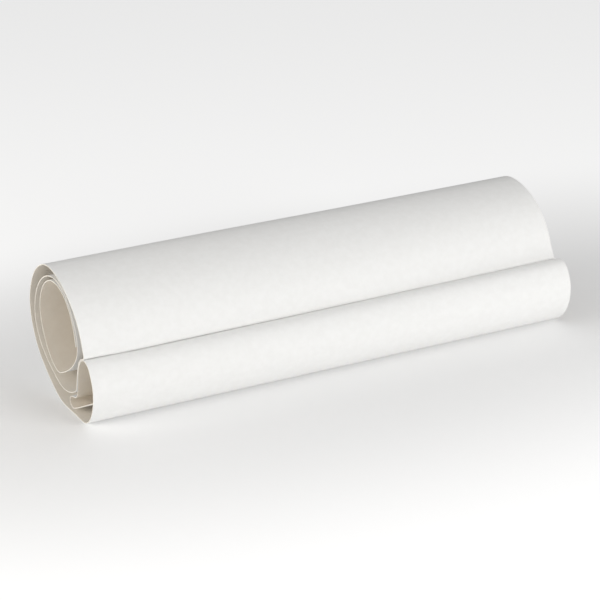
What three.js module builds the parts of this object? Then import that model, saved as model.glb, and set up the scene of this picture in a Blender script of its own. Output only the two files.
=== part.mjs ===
// A loosely rolled sheet of backdrop paper, lying on its side, with its outer end curled up in front.
//
// It is one sheet. Each mesh is one stretch of it, and the stretches follow each other from the
// sheet's outer end to its inner end, with a hairline slit between neighbours.
//
// Frame: millimetres, +X along the roll, +Y towards its back, +Z up, on the surface z = 0.

import * as THREE from 'three';

const SHEET_WIDTH = 600;
const SHEET_THICKNESS = 1;
const SLIT = 0.4;

// Where the section's zero line lies: the line along which the loose end leaves the table.
const TOE_Y = -51;

// The loose end isn't quite parallel to the roll: it runs forward by this angle, from left to right.
const LOOSE_END_TURN = THREE.MathUtils.degToRad(1.6);

// From left to right the roll gets a little tighter, and the loose end a little wider.
const ROLL_TAPER = -0.01;
const LOOSE_END_TAPER = 0.055;

// Points along one knot-to-knot stretch of the bent sheet.
const STEPS = 5;

const ON_THE_TABLE = SHEET_THICKNESS / 2;

// The section of the sheet, from its outer end to its inner end. A stretch starts where the one
// before it ends. Each knot is [back, up, heading]: how far back from the toe line the middle of
// the sheet is, how far up, and which way it runs there, in degrees, with 0 to the back and 90 up.
const START = [-22, 35, -28];
const LOOSE_END = [
  ['end_tail', [[19, 13, -28]]],
  ['end_fold', [[35, 5.6, -15], [45, 11.5, 90], [37.5, 18.8, 168], [24, 24, 130]]],
  ['end_back_wall', [[18.8, 34, 97], [17.3, 49.5, 97], [13.5, 63, 113]]],
  ['end_crown', [[4.5, 73.5, 151], [-5.5, 75.8, 187], [-18, 68, 236]]],
  ['end_front_wall', [[-25.3, 49, 268], [-20.5, 24, 296]]],
  ['end_toe', [[-9, 8.2, 319], [9, ON_THE_TABLE, 360]]],
];
const REAR_EDGE = [58, ON_THE_TABLE, 0];
const ROLL = [
  ['payout_1', [[86, 9.8, 31]]],
  ['payout_2', [[115, 28.5, 39]]],
  ['payout_3', [[136, 52.5, 61]]],
  ['outer_back', [[145.9, 87, 91], [134.5, 119.5, 122]]],
  ['outer_top', [[114, 141.5, 148], [88, 152, 178], [64, 149, 198]]],
  ['outer_front', [[42, 140, 211], [27, 130, 220], [12.5, 114.5, 232], [3.8, 99, 247]]],
  ['outer_tuck', [[-0.2, 86, 260], [-1.4, 79.6, 272], [1.4, 76.9, 341], [11.2, 70.2, 309],
    [16.6, 60, 292], [19.8, 47, 278], [21.4, 36, 280], [27, 28.4, 328]]],
  ['middle_bottom', [[38, 22.8, 338], [57, 19, 358], [88, 29, 28]]],
  ['middle_back', [[120, 52, 53], [131.3, 78.5, 84], [126, 105.5, 111]]],
  ['middle_top', [[110.5, 126.5, 136], [92, 138.8, 157], [71, 143.6, 181], [52, 140.4, 204]]],
  ['middle_front', [[36.5, 131, 222], [23, 115, 238], [15, 98, 254], [13.6, 84, 274]]],
  ['inner_bottom', [[17.5, 71.5, 300], [36.5, 51.5, 322], [62, 36.5, 333], [72, 33.6, 4]]],
  ['inner_back', [[96, 46.8, 46], [108.5, 66.5, 67], [116, 90, 88]]],
  ['inner_top', [[112.5, 108, 108], [101, 125.5, 134], [83, 136.6, 161], [64, 138.6, 187]]],
  ['inner_front', [[45, 132, 213], [29.5, 117, 235], [21, 99.5, 252], [18, 84, 268]]],
];

const SHEET_COLOUR = 0xefeeeb;

function sheetMaterial() {
  return new THREE.MeshStandardMaterial({ color: SHEET_COLOUR, roughness: 0.85, metalness: 0 });
}

function direction(degrees) {
  const angle = THREE.MathUtils.degToRad(degrees);
  return new THREE.Vector2(Math.cos(angle), Math.sin(angle));
}

// The signed turn between two headings, by the short way round.
function turnBetween(from, to) {
  return THREE.MathUtils.euclideanModulo(to - from + 180, 360) - 180;
}

// A bend between two knots: the cubic curve that is a circular arc where the knots allow one.
function bend([back0, up0, heading0], [back1, up1, heading1]) {
  const from = new THREE.Vector2(back0, up0);
  const to = new THREE.Vector2(back1, up1);
  const turn = Math.abs(THREE.MathUtils.degToRad(turnBetween(heading0, heading1)));
  const share = turn < 0.01 ? 1 / 3 : (2 / 3) * Math.tan(turn / 4) / Math.sin(turn / 2);
  const reach = share * from.distanceTo(to);
  return new THREE.CubicBezierCurve(
    from,
    from.clone().addScaledVector(direction(heading0), reach),
    to.clone().addScaledVector(direction(heading1), -reach),
    to,
  );
}

// Points on the sheet's middle line, each with the direction of its upper or inner face.
function middleLine(start, knots) {
  const line = [];
  let from = start;
  for (const to of knots) {
    const curve = bend(from, to);
    for (let i = line.length ? 1 : 0; i <= STEPS; i += 1) {
      const along = curve.getTangent(i / STEPS);
      const point = curve.getPoint(i / STEPS);
      line.push({ point, along, side: new THREE.Vector2(-along.y, along.x) });
    }
    from = to;
  }
  line[0].point.addScaledVector(line[0].along, SLIT / 2);
  const last = line[line.length - 1];
  last.point.addScaledVector(last.along, -SLIT / 2);
  return line;
}

// The closed outline of a stretch: along one face of the sheet and back along the other.
function stretchShape(line) {
  const half = SHEET_THICKNESS / 2;
  const inner = line.map(({ point, side }) => point.clone().addScaledVector(side, half));
  const outer = line.map(({ point, side }) => point.clone().addScaledVector(side, -half));
  return new THREE.Shape([...outer, ...inner.reverse()]);
}

// Turns a section drawn in (back, up) and extruded along z into the part's own frame.
function layAlongX(geometry) {
  const toFrame = new THREE.Matrix4().makeBasis(
    new THREE.Vector3(0, 1, 0),
    new THREE.Vector3(0, 0, 1),
    new THREE.Vector3(1, 0, 0),
  );
  return geometry.applyMatrix4(toFrame);
}

function sheetMesh(name, geometry) {
  const mesh = new THREE.Mesh(geometry, sheetMaterial());
  mesh.name = name;
  return mesh;
}

// Scales the section about the toe line, by nothing at the left end and by the taper at the right.
function taperAlongX(geometry, taper) {
  const { position } = geometry.attributes;
  for (let i = 0; i < position.count; i += 1) {
    const scale = 1 + taper * position.getX(i) / SHEET_WIDTH;
    position.setY(i, position.getY(i) * scale);
    position.setZ(i, position.getZ(i) * scale);
  }
  return geometry;
}

// A bent stretch as wide as the sheet, from x = 0 to x = SHEET_WIDTH.
function bentStretch(name, start, knots, taper) {
  const shape = stretchShape(middleLine(start, knots));
  const geometry = new THREE.ExtrudeGeometry(shape, { depth: SHEET_WIDTH, bevelEnabled: false });
  return sheetMesh(name, taperAlongX(layAlongX(geometry), taper));
}

function addStretches(group, start, stretches, taper) {
  let from = start;
  for (const [name, knots] of stretches) {
    group.add(bentStretch(name, from, knots, taper));
    from = knots[knots.length - 1];
  }
  return from;
}

// The flat stretch between the loose end and the roll. Its front edge follows the loose end's turn
// and widening, and its rear edge the roll's taper.
function floorLead([frontBack], [rearBack]) {
  const forward = SHEET_WIDTH * Math.tan(LOOSE_END_TURN);
  const frontRight = frontBack * (1 + LOOSE_END_TAPER) - forward;
  const rearRight = rearBack * (1 + ROLL_TAPER);
  const plan = new THREE.Shape([
    new THREE.Vector2(0, frontBack + SLIT),
    new THREE.Vector2(SHEET_WIDTH, frontRight + SLIT),
    new THREE.Vector2(SHEET_WIDTH, rearRight - SLIT / 2),
    new THREE.Vector2(0, rearBack - SLIT / 2),
  ]);
  const geometry = new THREE.ExtrudeGeometry(plan, { depth: SHEET_THICKNESS, bevelEnabled: false });
  return sheetMesh('floor_lead', geometry);
}

const roll = new THREE.Group();
roll.position.set(-SHEET_WIDTH / 2, TOE_Y, 0);

const looseEnd = new THREE.Group();
looseEnd.rotation.z = -LOOSE_END_TURN;
const frontEdge = addStretches(looseEnd, START, LOOSE_END, LOOSE_END_TAPER);
roll.add(looseEnd);

roll.add(floorLead(frontEdge, REAR_EDGE));
addStretches(roll, REAR_EDGE, ROLL, ROLL_TAPER);

const backdropRoll = new THREE.Group();
backdropRoll.add(roll);

export default backdropRoll;
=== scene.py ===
# A loosely rolled sheet of matt white backdrop paper, lying on its side on a pale floor, with its
# loose end curled up in front of the roll. The sheet is one surface, cut into six strips where it
# has to bend when the roll is rolled back.
#
# Metres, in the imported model's frame: +X along the roll, +Y towards its back, +Z up.

import math

import bpy
import numpy as np
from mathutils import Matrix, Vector


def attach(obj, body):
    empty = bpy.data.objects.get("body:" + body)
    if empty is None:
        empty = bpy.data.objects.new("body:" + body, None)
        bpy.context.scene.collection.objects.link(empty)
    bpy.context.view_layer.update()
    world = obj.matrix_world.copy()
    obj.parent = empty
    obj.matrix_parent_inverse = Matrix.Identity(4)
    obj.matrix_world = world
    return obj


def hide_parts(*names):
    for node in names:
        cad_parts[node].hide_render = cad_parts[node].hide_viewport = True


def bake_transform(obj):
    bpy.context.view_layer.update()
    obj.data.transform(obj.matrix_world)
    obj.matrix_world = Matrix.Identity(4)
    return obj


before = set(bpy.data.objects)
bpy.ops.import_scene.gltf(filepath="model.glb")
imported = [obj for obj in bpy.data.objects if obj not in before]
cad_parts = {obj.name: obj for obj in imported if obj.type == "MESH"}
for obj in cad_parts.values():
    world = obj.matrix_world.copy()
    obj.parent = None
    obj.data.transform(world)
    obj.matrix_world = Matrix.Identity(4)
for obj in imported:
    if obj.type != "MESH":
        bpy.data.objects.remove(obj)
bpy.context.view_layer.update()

MM = 0.001
SHEET_WIDTH = 600 * MM
SHEET_THICKNESS = 1 * MM

# The line along which the loose end leaves the floor, and how far the loose end is turned.
TOE_Y = -51 * MM
LOOSE_END_TURN = math.radians(1.6)

# From left to right the roll gets a little tighter, and the loose end a little wider.
ROLL_TAPER = -0.01
LOOSE_END_TAPER = 0.055

# The section of the sheet, from its outer end to its inner end: the middle of the sheet passes
# through these knots. Each is (back, up, heading), in mm and degrees, with heading 0 to the back
# and 90 up. A stretch starts where the one before it ends.
START = (-22, 35, -28)
STRETCHES = [
    ("end_tail", [(19, 13, -28)]),
    ("end_fold", [(35, 5.6, -15), (45, 11.5, 90), (37.5, 18.8, 168), (24, 24, 130)]),
    ("end_back_wall", [(18.8, 34, 97), (17.3, 49.5, 97), (13.5, 63, 113)]),
    ("end_crown", [(4.5, 73.5, 151), (-5.5, 75.8, 187), (-18, 68, 236)]),
    ("end_front_wall", [(-25.3, 49, 268), (-20.5, 24, 296)]),
    ("end_toe", [(-9, 8.2, 319), (9, 0.5, 360)]),
    ("floor_lead", [(58, 0.5, 0)]),
    ("payout_1", [(86, 9.8, 31)]),
    ("payout_2", [(115, 28.5, 39)]),
    ("payout_3", [(136, 52.5, 61)]),
    ("outer_back", [(145.9, 87, 91), (134.5, 119.5, 122)]),
    ("outer_top", [(114, 141.5, 148), (88, 152, 178), (64, 149, 198)]),
    ("outer_front", [(42, 140, 211), (27, 130, 220), (12.5, 114.5, 232), (3.8, 99, 247)]),
    ("outer_tuck", [(-0.2, 86, 260), (-1.4, 79.6, 272), (1.4, 76.9, 341), (11.2, 70.2, 309),
                    (16.6, 60, 292), (19.8, 47, 278), (21.4, 36, 280), (27, 28.4, 328)]),
    ("middle_bottom", [(38, 22.8, 338), (57, 19, 358), (88, 29, 28)]),
    ("middle_back", [(120, 52, 53), (131.3, 78.5, 84), (126, 105.5, 111)]),
    ("middle_top", [(110.5, 126.5, 136), (92, 138.8, 157), (71, 143.6, 181), (52, 140.4, 204)]),
    ("middle_front", [(36.5, 131, 222), (23, 115, 238), (15, 98, 254), (13.6, 84, 274)]),
    ("inner_bottom", [(17.5, 71.5, 300), (36.5, 51.5, 322), (62, 36.5, 333), (72, 33.6, 4)]),
    ("inner_back", [(96, 46.8, 46), (108.5, 66.5, 67), (116, 90, 88)]),
    ("inner_top", [(112.5, 108, 108), (101, 125.5, 134), (83, 136.6, 161), (64, 138.6, 187)]),
    ("inner_front", [(45, 132, 213), (29.5, 117, 235), (21, 99.5, 252), (18, 84, 268)]),
]

ROW_STEP = 1.5 * MM
COLUMNS = 30
EDGE_CHAMFER = 0.15 * MM

# How strongly the section is rounded, and from which radius of bend it is rounded less.
GENTLE_ROUNDING = 8 * MM
TIGHT_ROUNDING = 1.6 * MM
SHARP_FROM_RADIUS = 35 * MM
SHARP_RANGE_RADIUS = 15 * MM
SHARP_SPREAD = 7 * MM

# The nose of the roll lies this far along the sheet past outer_front, and the crown's highest line
# this far before the end of end_crown. The nose touches the crown, which sags a little.
NOSE_AFTER = 20 * MM
NOSE_REACH = 9 * MM
NOSE_ROWS = 12
NOSE_GAP = SHEET_THICKNESS + 0.08 * MM
SETTLING_PASSES = 6
CROWN_BEFORE = 17 * MM
CROWN_SAG = 1.8 * MM
SAG_REACH = 16 * MM


# ---------------------------------------------------------------- the section of the sheet

def heading_vector(degrees):
    angle = math.radians(degrees)
    return np.array([math.cos(angle), math.sin(angle)])


def bend(knot_a, knot_b, points=200):
    """Points on the cubic curve between two knots, without the first."""
    a, b = np.array(knot_a[:2], float), np.array(knot_b[:2], float)
    turn = abs(math.radians((knot_b[2] - knot_a[2] + 180) % 360 - 180))
    share = 1 / 3 if turn < 0.01 else 2 / 3 * math.tan(turn / 4) / math.sin(turn / 2)
    reach = share * np.linalg.norm(b - a)
    c, d = a + reach * heading_vector(knot_a[2]), b - reach * heading_vector(knot_b[2])
    t = np.linspace(0, 1, points + 1)[1:, None]
    return (1 - t) ** 3 * a + 3 * (1 - t) ** 2 * t * c + 3 * (1 - t) * t * t * d + t ** 3 * b


def arc_length(line):
    steps = np.linalg.norm(np.diff(line, axis=0), axis=1)
    return np.concatenate([[0], np.cumsum(steps)])


def evenly(line, count):
    along = arc_length(line)
    wanted = np.linspace(0, along[-1], count)
    return np.stack([np.interp(wanted, along, line[:, k]) for k in range(line.shape[1])], axis=1)


def smoothed(values, sigma):
    """Gaussian smoothing over rows; both ends stay where they are."""
    reach = int(3 * sigma) + 1
    kernel = np.exp(-0.5 * (np.arange(-reach, reach + 1) / sigma) ** 2)
    kernel /= kernel.sum()
    head = 2 * values[0] - values[reach:0:-1]
    tail = 2 * values[-1] - values[-2:-reach - 2:-1]
    padded = np.concatenate([head, values, tail])
    return np.stack(
        [np.convolve(padded[:, k], kernel, "valid") for k in range(values.shape[1])], axis=1)


def make_section():
    """The sheet's middle line as evenly spaced (back, up) rows, and each stretch's first row."""
    line, ends, before = [np.array([START[:2]], float)], {}, START
    for name, knots in STRETCHES:
        for knot in knots:
            line.append(bend(before, knot))
            before = knot
        ends[name] = sum(len(part) for part in line) - 1
    line = np.concatenate(line) * MM
    along = arc_length(line)
    count = int(round(along[-1] / ROW_STEP)) + 1
    rows = evenly(line, count)
    step = along[-1] / (count - 1)

    gentle = smoothed(rows, GENTLE_ROUNDING / step)
    tight = smoothed(rows, TIGHT_ROUNDING / step)
    tangent = np.gradient(tight, axis=0)
    angle = np.unwrap(np.arctan2(tangent[:, 1], tangent[:, 0]))
    curvature = np.abs(np.gradient(angle)) / step
    sharp = np.clip((curvature - 1 / SHARP_FROM_RADIUS) * SHARP_RANGE_RADIUS, 0, 1)[:, None]
    sharp = np.clip(2.5 * smoothed(sharp, SHARP_SPREAD / step), 0, 1)
    rows = gentle * (1 - sharp) + tight * sharp

    last = {name: int(round(along[end] / step)) for name, end in ends.items()}
    return rows, last, step


section, last_row, row_step = make_section()


# ---------------------------------------------------------------- the sheet's surface

def ease(x, low, high):
    t = np.clip((x - low) / (high - low), 0, 1)
    return t * t * (3 - 2 * t)


def middle_surface(across):
    """The sheet's middle surface, rows by columns; across runs from 0, left, to 1, right."""
    back, up = section[:, :1], section[:, 1:]
    x = SHEET_WIDTH * across[None, :]

    wider = 1 + LOOSE_END_TAPER * across[None, :]
    end_x = x * math.cos(LOOSE_END_TURN) + back * wider * math.sin(LOOSE_END_TURN)
    end_y = back * wider * math.cos(LOOSE_END_TURN) - x * math.sin(LOOSE_END_TURN)
    end_z = up * wider

    tighter = 1 + ROLL_TAPER * across[None, :]
    roll_x, roll_y, roll_z = x + 0 * back, back * tighter, up * tighter

    row = np.arange(len(section))[:, None]
    share = ease(row, last_row["end_toe"], last_row["floor_lead"])
    surface = np.stack([
        end_x * (1 - share) + roll_x * share - SHEET_WIDTH / 2,
        end_y * (1 - share) + roll_y * share + TOE_Y,
        np.maximum(end_z * (1 - share) + roll_z * share, SHEET_THICKNESS / 2),
    ], axis=2)
    return surface


def normals_of(surface):
    """Unit normals towards the side that both rolls wrap round."""
    along = np.gradient(surface, axis=0)
    over = np.gradient(surface, axis=1)
    normal = np.cross(over, along)
    return normal / np.linalg.norm(normal, axis=2, keepdims=True)


def column_places():
    """Across the sheet: even columns, with a narrow one inside each cut edge for the chamfer."""
    inset = EDGE_CHAMFER / SHEET_WIDTH
    return np.concatenate([[0], np.linspace(inset, 1 - inset, COLUMNS + 1), [1]])


def lay_of_the_paper(across):
    """How far the paper lies off its ideal bend: a few long, shallow waves, none on the floor."""
    row = np.arange(len(section))[:, None] * row_step
    u = across[None, :]
    waves = (
        0.30 * np.sin(2 * math.pi * (row / 0.190 + 0.35 * u + 0.10))
        + 0.22 * np.sin(2 * math.pi * (row / 0.117 - 0.80 * u + 0.45))
        + 0.12 * np.sin(2 * math.pi * (row / 0.071 + 1.60 * u + 0.80))
    ) * MM
    onto_floor = ease(row, last_row["end_front_wall"] * row_step, last_row["end_toe"] * row_step)
    off_floor = ease(row, last_row["floor_lead"] * row_step, last_row["payout_1"] * row_step)
    return waves * (1 - onto_floor * (1 - off_floor))


def bump_over(row, centre, reach):
    """1 at the centre row, fading to 0 a few reaches away along the sheet."""
    return np.exp(-((row - centre) * row_step / reach) ** 2)


def settled(surface, across):
    """The roll's nose rests on the crown of the loose end, which gives a little left of the middle."""
    row = np.arange(len(surface))[:, None]
    nose = last_row["outer_front"] + int(NOSE_AFTER / row_step)
    crown = last_row["end_crown"] - int(CROWN_BEFORE / row_step)
    sag = CROWN_SAG * (ease(across, 0.0, 0.12) * (1 - ease(across, 0.3, 0.8)))[None, :]
    moved = surface.copy()
    moved[:, :, 2] -= sag * np.maximum(bump_over(row, nose, 2 * NOSE_REACH),
                                       bump_over(row, crown, SAG_REACH))
    near_nose = slice(nose - NOSE_ROWS, nose + NOSE_ROWS)
    near_crown = slice(last_row["end_back_wall"], last_row["end_crown"] + NOSE_ROWS // 2)
    for _ in range(SETTLING_PASSES):
        for column in range(len(across)):
            apart = moved[near_crown, None, column, 1:] - moved[None, near_nose, column, 1:]
            gap = np.linalg.norm(apart, axis=2)
            closest = np.unravel_index(gap.argmin(), gap.shape)
            push = apart[closest] * (1 - NOSE_GAP / gap[closest])
            moved[:, column, 1:] += push * bump_over(row, nose, NOSE_REACH)
    return moved


across = column_places()
middle = middle_surface(across)
middle = middle + normals_of(middle) * lay_of_the_paper(across)[:, :, None]
middle = settled(middle, across)
normal = normals_of(middle)
half = SHEET_THICKNESS / 2
rim = half - EDGE_CHAMFER


# ---------------------------------------------------------------- materials

def node_material(name):
    material = bpy.data.materials.new(name)
    material.use_nodes = True
    nodes = material.node_tree.nodes
    return material, nodes, material.node_tree.links, nodes["Principled BSDF"]


def noise_node(nodes, links, place, scale, detail, roughness=0.5):
    node = nodes.new("ShaderNodeTexNoise")
    node.inputs["Scale"].default_value = scale
    node.inputs["Detail"].default_value = detail
    node.inputs["Roughness"].default_value = roughness
    links.new(place, node.inputs["Vector"])
    return node


def ramp_node(nodes, links, factor, low, high, from_value=0.35, to_value=0.65):
    node = nodes.new("ShaderNodeValToRGB")
    node.color_ramp.elements[0].position = from_value
    node.color_ramp.elements[1].position = to_value
    node.color_ramp.elements[0].color = (*low, 1)
    node.color_ramp.elements[1].color = (*high, 1)
    links.new(factor, node.inputs["Fac"])
    return node


def paper_material(name, light, dark, tooth):
    """Matt paper: faint clouding of the pulp, a fine tooth and, finer still, loose fibres."""
    material, nodes, links, shader = node_material(name)
    place = nodes.new("ShaderNodeTexCoord").outputs["Object"]

    clouds = noise_node(nodes, links, place, 130, 4, 0.6)
    colour = ramp_node(nodes, links, clouds.outputs["Fac"], dark, light)
    links.new(colour.outputs["Color"], shader.inputs["Base Color"])

    mottle = noise_node(nodes, links, place, 420, 3)
    gloss = nodes.new("ShaderNodeMapRange")
    gloss.inputs["To Min"].default_value = 0.72
    gloss.inputs["To Max"].default_value = 0.9
    links.new(mottle.outputs["Fac"], gloss.inputs["Value"])
    links.new(gloss.outputs["Result"], shader.inputs["Roughness"])

    grain = noise_node(nodes, links, place, 1400, 5, 0.65)
    fibre = noise_node(nodes, links, place, 3600, 2)
    height = nodes.new("ShaderNodeMath")
    height.operation = "MULTIPLY_ADD"
    height.inputs[1].default_value = 0.35
    links.new(fibre.outputs["Fac"], height.inputs[0])
    links.new(grain.outputs["Fac"], height.inputs[2])
    bump = nodes.new("ShaderNodeBump")
    bump.inputs["Strength"].default_value = tooth
    bump.inputs["Distance"].default_value = 0.12 * MM
    links.new(height.outputs["Value"], bump.inputs["Height"])
    links.new(bump.outputs["Normal"], shader.inputs["Normal"])

    shader.inputs["Specular IOR Level"].default_value = 0.3
    shader.inputs["Sheen Weight"].default_value = 0.08
    shader.inputs["Sheen Roughness"].default_value = 0.6
    return material


outer_face = paper_material("paper_outer_face", (0.88, 0.878, 0.868), (0.855, 0.852, 0.84), 0.5)
# The inner face is warmer and a little darker than the outer: partly a cream reverse side, partly
# painted shade of the hollows it lines.
inner_face = paper_material("paper_inner_face", (0.87, 0.81, 0.72), (0.85, 0.785, 0.69), 0.6)
cut_edge = paper_material("paper_cut_edge", (0.81, 0.77, 0.70), (0.73, 0.685, 0.61), 1.0)
OUTER, INNER, EDGE = 0, 1, 2


# ---------------------------------------------------------------- the strips of the sheet

def strip_profile(row):
    """The ring of points round the sheet's cut through one row, and the material of each side."""
    points, normals = middle[row], normal[row]
    inner = points[1:-1] + half * normals[1:-1]
    outer = points[1:-1] - half * normals[1:-1]
    right = [points[-1] + rim * normals[-1], points[-1] - rim * normals[-1]]
    left = [points[0] - rim * normals[0], points[0] + rim * normals[0]]
    return np.concatenate([inner, right, outer[::-1], left])


def make_strip(name, first, last):
    """One closed stretch of the sheet, from row first to row last."""
    rings = [strip_profile(row) for row in range(first, last + 1)]
    size = len(rings[0])
    faces_across = COLUMNS + 1
    materials = (
        [INNER] * (faces_across - 1) + [EDGE] * 3 + [OUTER] * (faces_across - 1) + [EDGE] * 3
    )
    faces, slots = [], []
    for i in range(len(rings) - 1):
        for k in range(size):
            a, b = i * size + k, i * size + (k + 1) % size
            faces.append((a, b, b + size, a + size))
            slots.append(materials[k])
    # Each end of the strip is closed by quads between its two faces.
    top = len(rings) * size - size
    for base, flip in ((0, True), (top, False)):
        ring = list(range(size))
        for k in range(faces_across - 1):
            quad = [ring[k], ring[k + 1], ring[2 * faces_across - k], ring[2 * faces_across - k + 1]]
            quad = [base + q for q in quad]
            faces.append(tuple(reversed(quad)) if flip else tuple(quad))
            slots.append(EDGE)
        right = [base + q for q in (faces_across - 1, faces_across, faces_across + 1,
                                    faces_across + 2)]
        left = [base + q for q in (2 * faces_across + 1, 2 * faces_across + 2,
                                   2 * faces_across + 3, 0)]
        for quad in (right, left):
            faces.append(tuple(reversed(quad)) if flip else tuple(quad))
            slots.append(EDGE)

    mesh = bpy.data.meshes.new(name)
    mesh.from_pydata([tuple(p) for ring in rings for p in ring], [], faces)
    for material in (outer_face, inner_face, cut_edge):
        mesh.materials.append(material)
    mesh.polygons.foreach_set("material_index", slots)
    mesh.validate()
    mesh.shade_smooth()
    mesh.set_sharp_from_angle(angle=math.radians(32))
    piece = bpy.data.objects.new(name, mesh)
    bpy.context.scene.collection.objects.link(piece)
    return piece


def middle_row(before, name):
    """The row halfway along the stretch called name, which follows the one called before."""
    return (last_row[before] + last_row[name]) // 2


END_NODES = ["end_tail", "end_fold", "end_back_wall", "end_crown", "end_front_wall", "end_toe",
             "floor_lead"]
ROLL_NODES = [name for name, _ in STRETCHES if name.split("_")[0] in ("outer", "middle", "inner")]

cuts = {
    "lead": middle_row("end_toe", "floor_lead"),
    "payout_1": middle_row("floor_lead", "payout_1"),
    "payout_2": middle_row("payout_1", "payout_2"),
    "payout_3": middle_row("payout_2", "payout_3"),
    "outer_back": last_row["payout_3"] + (last_row["payout_3"] - last_row["payout_2"]) // 2,
}


def add_strip(name, first, last):
    piece = make_strip(name, first, last)
    return piece


def bend_between(piece):
    """Bakes the strip's placement into its mesh."""
    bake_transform(piece)


loose_end = add_strip("sheet_loose_end", 0, cuts["lead"])
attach(loose_end, "loose_end")
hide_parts(*END_NODES)

first_bend = add_strip("sheet_bend_1", cuts["lead"], cuts["payout_1"])
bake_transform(first_bend)

second_bend = add_strip("sheet_bend_2", cuts["payout_1"], cuts["payout_2"])
bend_between(second_bend)
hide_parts("payout_1")

third_bend = add_strip("sheet_bend_3", cuts["payout_2"], cuts["payout_3"])
bend_between(third_bend)
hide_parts("payout_2")

fourth_bend = add_strip("sheet_bend_4", cuts["payout_3"], cuts["outer_back"])
bend_between(fourth_bend)
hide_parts("payout_3")

rolled = add_strip("sheet_roll", cuts["outer_back"], len(section) - 1)
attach(rolled, "main_roll")
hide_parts(*ROLL_NODES)


# ---------------------------------------------------------------- floor, light and camera

FLOOR_SIZE = 14.0
FLOOR_DROP = 0.2 * MM


def make_floor():
    mesh = bpy.data.meshes.new("floor")
    side = FLOOR_SIZE / 2
    mesh.from_pydata(
        [(-side, -side, -FLOOR_DROP), (side, -side, -FLOOR_DROP),
         (side, side, -FLOOR_DROP), (-side, side, -FLOOR_DROP)], [], [(0, 1, 2, 3)])
    floor = bpy.data.objects.new("floor", mesh)
    bpy.context.scene.collection.objects.link(floor)
    material, nodes, links, shader = node_material("pale_floor")
    shader.inputs["Base Color"].default_value = (0.85, 0.85, 0.85, 1)
    shader.inputs["Roughness"].default_value = 0.9
    shader.inputs["Specular IOR Level"].default_value = 0.1
    shader.inputs["Emission Color"].default_value = (1, 1, 1, 1)

    # Painted light and shade: the floor glows though it is no lamp. It is dim near the roll, as a
    # painted shadow round it, and whiter away from it, in ovals along it.
    place = nodes.new("ShaderNodeTexCoord").outputs["Object"]
    oval = nodes.new("ShaderNodeVectorMath")
    oval.operation = "MULTIPLY"
    oval.inputs[1].default_value = (0.4, 1, 1)
    links.new(place, oval.inputs[0])
    away = nodes.new("ShaderNodeVectorMath")
    away.operation = "LENGTH"
    links.new(oval.outputs["Vector"], away.inputs[0])
    painted_light_glow = nodes.new("ShaderNodeMapRange")
    painted_light_glow.interpolation_type = "SMOOTHSTEP"
    painted_light_glow.inputs["From Min"].default_value = 0.10
    painted_light_glow.inputs["From Max"].default_value = 0.50
    painted_light_glow.inputs["To Min"].default_value = 0.12
    painted_light_glow.inputs["To Max"].default_value = 0.40
    links.new(away.outputs["Value"], painted_light_glow.inputs["Value"])
    links.new(painted_light_glow.outputs["Result"], shader.inputs["Emission Strength"])
    mesh.materials.append(material)


def area_light(name, place, aim, size, power, colour):
    data = bpy.data.lights.new(name, "AREA")
    data.shape = "RECTANGLE"
    data.size, data.size_y = size
    data.energy = power
    data.color = colour
    light = bpy.data.objects.new(name, data)
    light.location = place
    light.rotation_euler = (Vector(aim) - Vector(place)).to_track_quat("-Z", "Y").to_euler()
    bpy.context.scene.collection.objects.link(light)


def make_world(colour, strength):
    world = bpy.data.worlds.new("studio")
    world.use_nodes = True
    background = world.node_tree.nodes["Background"]
    background.inputs["Color"].default_value = (*colour, 1)
    background.inputs["Strength"].default_value = strength
    bpy.context.scene.world = world


def make_camera(place, aim, lens):
    data = bpy.data.cameras.new("camera")
    data.lens = lens
    data.sensor_width = 36
    data.clip_start = 0.05
    camera = bpy.data.objects.new("camera", data)
    camera.location = place
    camera.rotation_euler = (Vector(aim) - Vector(place)).to_track_quat("-Z", "Y").to_euler()
    bpy.context.scene.collection.objects.link(camera)
    bpy.context.scene.camera = camera


bpy.context.scene.view_settings.view_transform = "Standard"
make_floor()
make_world((1.0, 1.0, 1.0), 0.415)
area_light("key", (1.0, -2.4, 0.95), (0.1, 0, 0.06), (1.6, 1.0), 34.5, (1.0, 0.998, 0.99))
area_light("fill", (-1.9, -0.1, 0.6), (-0.3, 0, 0.06), (0.9, 0.7), 17, (1.0, 0.98, 0.94))
make_camera((-0.9657, -1.6859, 0.8782), (-0.0172, -0.0088, 0.0702), 111.25)
